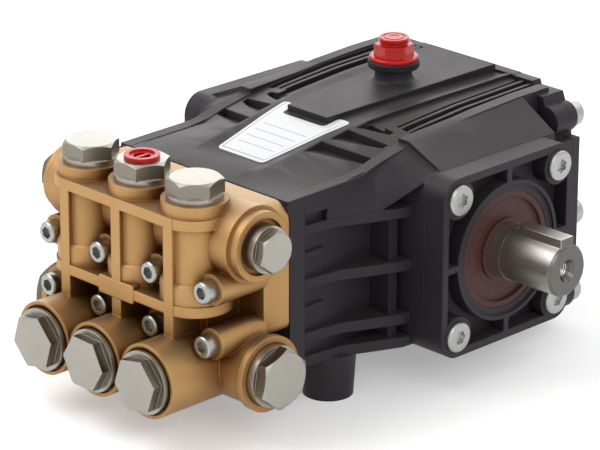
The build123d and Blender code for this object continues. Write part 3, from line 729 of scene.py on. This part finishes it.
class PumpSizes(bpy.types.PropertyGroup):
    """Sizes of the screws, the thread and the plate."""

    head_screw_radius: bpy.props.FloatProperty(
        name="Head screw radius", description="Radius of the manifold screws' heads", default=0.005,
        unit="LENGTH")
    head_screw_height: bpy.props.FloatProperty(
        name="Head screw height", description="Height of the manifold screws' heads", default=0.006,
        unit="LENGTH")
    head_screw_socket: bpy.props.FloatProperty(
        name="Head screw socket", description="Width across the flats of the manifold screws' sockets",
        default=0.005, unit="LENGTH")
    cover_screw_radius: bpy.props.FloatProperty(
        name="Cover screw radius", description="Radius of the bearing cover screws' heads", default=0.0070,
        unit="LENGTH")
    cover_screw_height: bpy.props.FloatProperty(
        name="Cover screw height", description="Height of the bearing cover screws' heads", default=0.0021,
        unit="LENGTH")
    rear_screw_radius: bpy.props.FloatProperty(
        name="Rear screw radius", description="Radius of the rear cover screws' heads", default=0.0063,
        unit="LENGTH")
    rear_screw_height: bpy.props.FloatProperty(
        name="Rear screw height", description="Height of the rear cover screws' heads", default=0.0072,
        unit="LENGTH")
    cover_screw_socket: bpy.props.FloatProperty(
        name="Cover screw socket", description="Radius of the sockets in all the covers' screws",
        default=0.0029, unit="LENGTH")
    plate_thickness: bpy.props.FloatProperty(
        name="Plate thickness", description="Thickness of the blank plate on the deck", default=0.0003,
        unit="LENGTH")
    thread_radius: bpy.props.FloatProperty(
        name="Thread radius", description="Radius of the shaft's centre hole", default=0.0040,
        unit="LENGTH")
    thread_depth: bpy.props.FloatProperty(
        name="Thread depth", description="How far the thread stands into the centre hole", default=0.0007,
        unit="LENGTH")
    thread_pitch: bpy.props.FloatProperty(
        name="Thread pitch", description="Pitch of the thread in the shaft's centre hole", default=0.00125,
        unit="LENGTH")
    thread_length: bpy.props.FloatProperty(
        name="Thread length", description="Length of the thread in the shaft's centre hole", default=0.018,
        unit="LENGTH")


class PumpColours(bpy.types.PropertyGroup):
    """Colours of the finishes, as linear values."""

    coat: bpy.props.FloatVectorProperty(
        name="Powder coat", description="Colour of the crankcase and covers", default=(0.021, 0.017, 0.021),
        subtype="COLOR")
    # Painted light: the coat's colour where it faces up, paler than the rest.
    coat_lit_on_top: bpy.props.FloatVectorProperty(
        name="Powder coat on top", description="Colour of the coat where it faces up and dust lies on it",
        default=(0.040, 0.035, 0.034), subtype="COLOR")
    brass: bpy.props.FloatVectorProperty(
        name="Brass", description="Colour of the manifold in the open", default=(0.50, 0.300, 0.124),
        subtype="COLOR")
    # Painted shade: the manifold's colour in its hollows and underneath.
    brass_shade: bpy.props.FloatVectorProperty(
        name="Brass in hollows", description="Colour of the manifold in its hollows",
        default=(0.19, 0.082, 0.022), subtype="COLOR")
    nickel: bpy.props.FloatVectorProperty(
        name="Nickel plate", description="Colour of the caps and plugs", default=(0.365, 0.350, 0.310),
        subtype="COLOR")
    # Painted shade on the hexagons' flats: darker on the plugs and lower caps, paler on the top caps
    flats: bpy.props.FloatVectorProperty(
        name="Hexagon flats", description="Colour of the hexagons' flats on the plugs and lower caps",
        default=(0.125, 0.102, 0.072), subtype="COLOR")
    upper_flats: bpy.props.FloatVectorProperty(
        name="Upper hexagon flats", description="Colour of the hexagons' flats on the top caps",
        default=(0.215, 0.195, 0.160), subtype="COLOR")
    zinc: bpy.props.FloatVectorProperty(
        name="Zinc plate", description="Colour of the screws", default=(0.40, 0.405, 0.385),
        subtype="COLOR")
    steel: bpy.props.FloatVectorProperty(
        name="Steel", description="Colour of the shaft and key", default=(0.52, 0.49, 0.455),
        subtype="COLOR")
    rubber: bpy.props.FloatVectorProperty(
        name="Seal rubber", description="Colour of the shaft seal", default=(0.050, 0.017, 0.014),
        subtype="COLOR")
    red: bpy.props.FloatVectorProperty(
        name="Red plastic", description="Colour of the filler and the gauge port's plug",
        default=(0.52, 0.006, 0.004), subtype="COLOR")
    oil: bpy.props.FloatVectorProperty(
        name="Oil", description="Colour of the oil behind the glass", default=(0.55, 0.36, 0.08),
        subtype="COLOR")
    ink: bpy.props.FloatVectorProperty(
        name="Ink", description="Colour of the plate's border and lines", default=(0.20, 0.27, 0.38),
        subtype="COLOR")


class PUMP_OT_finishes(bpy.types.Operator):
    """Give every solid of the pump its finish"""

    bl_idname = "pump.finishes"
    bl_label = "Finish the solids"

    def execute(self, context):
        colours = context.scene.pump_colours
        made = {
            "powder_coated_case": powder_coat(colours.coat, colours.coat_lit_on_top),
            "cast_brass": cast_brass(colours.brass, colours.brass_shade),
            "nickel_plate": plated("satin_nickel", colours.nickel, NICKEL_ROUGHNESS),
            "ground_steel": ground_steel(colours.steel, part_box("crankshaft")[1].x),
            "seal_rubber": seal_rubber(colours.rubber),
            "gasket_paper": black_rubber(),
            "red_plastic": red_plastic(colours.red),
            "sight_glass": oil_glass(colours.oil),
        }
        # Each family's axis, its outer face along that axis, its hexagon's height, and the colour of the
        # painted shade on its flats
        hexagons = {
            "top_valve_cap": ("Z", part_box("top_valve_cap_left")[1].z, 0.0066, colours.upper_flats),
            "front_valve_cap": ("Y", -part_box("front_valve_cap_left")[0].y, 0.0044, colours.flats),
            "outlet_plug": ("X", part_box("outlet_plug_right")[1].x, 0.0042, colours.flats),
            "inlet_plug": ("X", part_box("inlet_plug_right")[1].x, 0.0056, colours.flats),
        }
        for family, (axis, outer, height, flats_painted_shade) in hexagons.items():
            flats = (axis, outer - height, flats_painted_shade)
            made[family] = plated(f"{family}_plate", colours.nickel, NICKEL_ROUGHNESS, flats)
        for part in frame["record"]["subparts"]:
            slots = frame["nodes"][part["node"]].data.materials
            family = part["node"].rsplit("_", 1)[0]
            slots.clear()
            slots.append(made.get(family, made[part["material_slot"]]))
        plated("zinc_plate", colours.zinc, ZINC_ROUGHNESS)
        blank_plate(colours.ink)
        return {"FINISHED"}


class PUMP_OT_manifold_screws(bpy.types.Operator):
    """Add the eight socket head screws that hold the manifold"""

    bl_idname = "pump.manifold_screws"
    bl_label = "Manifold screws"

    def execute(self, context):
        sizes = context.scene.pump_sizes
        for number, (x, z) in enumerate(MANIFOLD_SCREWS_MM, 1):
            bm = socket_head_screw(sizes.head_screw_radius, sizes.head_screw_height, sizes.head_screw_socket)
            bm.transform(facing((0, -1, 0), from_shaft(x, MANIFOLD_SCREW_SEAT_MM, z), 0.4 * number))
            finished(f"manifold_screw_{number}", bm, "zinc_plate", "pump")
        return {"FINISHED"}


class PUMP_OT_manifold_pad(bpy.types.Operator):
    """Add the plain cast pad where the middle strips of the manifold cross"""

    bl_idname = "pump.manifold_pad"
    bl_label = "Manifold pad"

    def execute(self, context):
        bm = bmesh.new()
        bmesh.ops.create_cube(bm, size=1.0, matrix=Matrix.Diagonal((*PAD_SIZE_MM, 1.0)))
        along_y = [edge for edge in bm.edges
                   if abs(edge.verts[0].co.x - edge.verts[1].co.x) < 1e-6
                   and abs(edge.verts[0].co.z - edge.verts[1].co.z) < 1e-6]
        bmesh.ops.bevel(bm, geom=along_y, offset=PAD_CORNER_MM, segments=4, profile=0.5, affect="EDGES",
                        material=-1)
        front = -PAD_SIZE_MM[1] / 2 + 0.01
        rim = [edge for edge in bm.edges if all(vert.co.y < front for vert in edge.verts)]
        bmesh.ops.bevel(bm, geom=rim, offset=PAD_RIM_MM, segments=2, profile=0.5, affect="EDGES", material=-1)
        bm.transform(Matrix.Translation(from_shaft(*PAD_MIDDLE_MM)) @ TO_METRES)
        finished("manifold_pad", bm, "blasted_brass", "pump", SHARP_ON_BEVELS)
        return {"FINISHED"}


class PUMP_OT_cover_screws(bpy.types.Operator):
    """Add the screws on both bearing covers, seated in the left one, and on the rear cover"""

    bl_idname = "pump.cover_screws"
    bl_label = "Cover screws"

    def execute(self, context):
        sizes = context.scene.pump_sizes
        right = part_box("bearing_cover_right")[1].x * 1000
        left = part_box("bearing_cover_left")[0].x * 1000
        rear = (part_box("rear_cover")[1].y - SHAFT.y) * 1000
        low = (sizes.cover_screw_radius, sizes.cover_screw_height)
        tall = (sizes.rear_screw_radius, sizes.rear_screw_height)
        sunk = [from_shaft(left, y, z) for y, z in BEARING_COVER_SCREWS_MM]
        screws = [((1, 0, 0), from_shaft(right, y, z), low) for y, z in BEARING_COVER_SCREWS_MM]
        screws += [((-1, 0, 0), seat + Vector((sizes.cover_screw_height, 0, 0)), low) for seat in sunk]
        screws += [((0, 1, 0), from_shaft(x, rear, z), tall) for x, z in REAR_COVER_SCREWS_MM]
        for number, (direction, place, head) in enumerate(screws, 1):
            bm = low_head_screw(*head, sizes.cover_screw_socket)
            bm.transform(facing(direction, place, 0.5 * number))
            finished(f"cover_screw_{number}", bm, "zinc_plate", "pump")
        cutter = seats(sunk, (-1, 0, 0), sizes.cover_screw_radius + COVER_SCREW_CLEARANCE,
                       sizes.cover_screw_height)
        cover = finished("bearing_cover_left_seated", carved("bearing_cover_left", cutter), "powder_coat",
                         "pump")
        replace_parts(cover, "bearing_cover_left")
        return {"FINISHED"}


class PUMP_OT_shaft_details(bpy.types.Operator):
    """Add the key that runs to the shaft's end and the thread in its centre hole"""

    bl_idname = "pump.shaft_details"
    bl_label = "Shaft details"

    def execute(self, context):
        sizes = context.scene.pump_sizes
        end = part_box("crankshaft")[1].x * 1000
        blank = key_blank(KEY_START_MM, end - KEY_SETBACK_MM, KEY_HALF_WIDTH_MM, KEY_BOTTOM_MM, KEY_TOP_MM)
        key = finished("drive_key", blank, "ground_shaft", "shaft", SHARP_ON_BEVELS)
        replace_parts(key, "shaft_key")
        bm = thread_sleeve(sizes.thread_radius, sizes.thread_depth, sizes.thread_pitch, sizes.thread_length)
        bm.transform(facing((1, 0, 0), from_shaft(end - THREAD_START_MM, 0, 0)))
        finished("centre_thread", bm, "ground_shaft", "shaft")
        return {"FINISHED"}


class PUMP_OT_filler(bpy.types.Operator):
    """Add the oil filler's black ring and red cap, on a boss that flares into the platform"""

    bl_idname = "pump.filler"
    bl_label = "Oil filler"

    def execute(self, context):
        neck = flare_round(from_shaft(*FILLER_FOOT_MM), FILLER_TILT)
        case = finished("crankcase_flared", carved("crankcase", neck), "powder_coat", "pump")
        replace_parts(case, "crankcase")
        seat = Matrix.Translation(from_shaft(*FILLER_SEAT_MM))
        ring = bmesh.new()
        turned(ring, scaled(FILLER_RING_MM), 72)
        ring.transform(seat)
        finished("filler_ring", ring, "gasket_black", "pump")
        cap = filler_cap()
        cap.transform(seat)
        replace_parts(finished("filler_cap", cap, "moulded_red", "pump"), "oil_filler_cap")
        return {"FINISHED"}


class PUMP_OT_plate(bpy.types.Operator):
    """Add the blank plate on the deck's channel floor"""

    bl_idname = "pump.plate"
    bl_label = "Blank plate"

    def execute(self, context):
        bm = plate_on_channel(context.scene.pump_sizes.plate_thickness * 1000)
        finished("deck_plate", bm, "blank_plate", "pump")
        return {"FINISHED"}


class PUMP_OT_stage(bpy.types.Operator):
    """Set the floor, the light and the camera"""

    bl_idname = "pump.stage"
    bl_label = "Studio"

    def execute(self, context):
        context.scene.view_settings.view_transform = "Standard"
        self.floor()
        for lamp in LAMPS:
            self.lamp(*lamp)
        self.world(context.scene)
        context.scene.camera = self.camera()
        return {"FINISHED"}

    def floor(self):
        """A wide white floor with its corners cut round."""
        bm = bmesh.new()
        bmesh.ops.create_grid(bm, x_segments=8, y_segments=8, size=12.0)
        bmesh.ops.bevel(bm, geom=[vert for vert in bm.verts if vert.is_boundary], offset=0.5, segments=3,
                        profile=0.5, affect="VERTICES", material=-1)
        mesh = bpy.data.meshes.new("studio_floor")
        bm.to_mesh(mesh)
        bm.free()
        mesh.materials.append(floor_white())
        placed("studio_floor", mesh)

    def lamp(self, name, place, size, power):
        """A square soft light that looks at the pump."""
        light = bpy.data.lights.new(name, "AREA")
        light.shape = "SQUARE"
        light.size = size
        light.energy = power
        lamp = placed(name, light)
        lamp.location = place
        lamp.rotation_euler = (Vector(place) - SHAFT).to_track_quat("Z", "Y").to_euler()
        lamp.visible_camera = False

    def world(self, scene):
        """A white room, at full strength only where the camera, a reflection or glass sees it."""
        world = bpy.data.worlds.new("studio")
        world.use_nodes = True
        scene.world = world
        tree = world.node_tree
        tree.nodes.clear()
        strength = tree.nodes.new("ShaderNodeMapRange")
        strength.inputs["To Min"].default_value = 0.55
        strength.inputs["To Max"].default_value = 1.0
        tree.links.new(background_rays(tree), strength.inputs["Value"])
        background = tree.nodes.new("ShaderNodeBackground")
        background.inputs["Color"].default_value = rgba(WHITE)
        tree.links.new(strength.outputs[0], background.inputs["Strength"])
        output = tree.nodes.new("ShaderNodeOutputWorld")
        tree.links.new(background.outputs[0], output.inputs["Surface"])

    def camera(self):
        """The camera that took the photograph."""
        azimuth, elevation, roll = CAMERA_AZIMUTH, CAMERA_ELEVATION, CAMERA_ROLL
        back = Vector((sin(azimuth) * cos(elevation), -cos(azimuth) * cos(elevation), sin(elevation)))
        level = Vector((cos(azimuth), sin(azimuth), 0))
        upright = back.cross(level)
        right = cos(roll) * level + sin(roll) * upright
        up = cos(roll) * upright - sin(roll) * level
        lens = bpy.data.cameras.new("camera")
        lens.sensor_width = CAMERA_SENSOR
        lens.lens = CAMERA_LENS
        lens.clip_start = 0.05
        lens.clip_end = 50.0
        camera = placed("camera", lens)
        turn = Matrix((right, up, back)).transposed().to_4x4()
        camera.matrix_world = Matrix.Translation(CAMERA_PLACE) @ turn
        return camera


class PUMP_PT_looks(bpy.types.Panel):
    """The pump's sizes, colours and pieces"""

    bl_idname = "PUMP_PT_looks"
    bl_label = "High-pressure pump"
    bl_space_type = "VIEW_3D"
    bl_region_type = "UI"
    bl_category = "Pump"

    def draw(self, context):
        for group in (context.scene.pump_sizes, context.scene.pump_colours):
            for name in group.__annotations__:
                self.layout.prop(group, name)
        for operator in OPERATORS:
            self.layout.operator(operator.bl_idname)


OPERATORS = (PUMP_OT_finishes, PUMP_OT_manifold_screws, PUMP_OT_manifold_pad, PUMP_OT_cover_screws,
             PUMP_OT_shaft_details, PUMP_OT_filler, PUMP_OT_plate, PUMP_OT_stage)
CLASSES = (PumpSizes, PumpColours, *OPERATORS, PUMP_PT_looks)


def register():
    for item in CLASSES:
        bpy.utils.register_class(item)
    bpy.types.Scene.pump_sizes = bpy.props.PointerProperty(type=PumpSizes)
    bpy.types.Scene.pump_colours = bpy.props.PointerProperty(type=PumpColours)


def unregister():
    del bpy.types.Scene.pump_colours
    del bpy.types.Scene.pump_sizes
    for item in reversed(CLASSES):
        bpy.utils.unregister_class(item)


def main():
    register()
    bpy.ops.pump.finishes()
    bpy.ops.pump.manifold_screws()
    bpy.ops.pump.manifold_pad()
    bpy.ops.pump.cover_screws()
    bpy.ops.pump.shaft_details()
    bpy.ops.pump.filler()
    bpy.ops.pump.plate()
    bpy.ops.pump.stage()


if __name__ == "__main__":
    main()
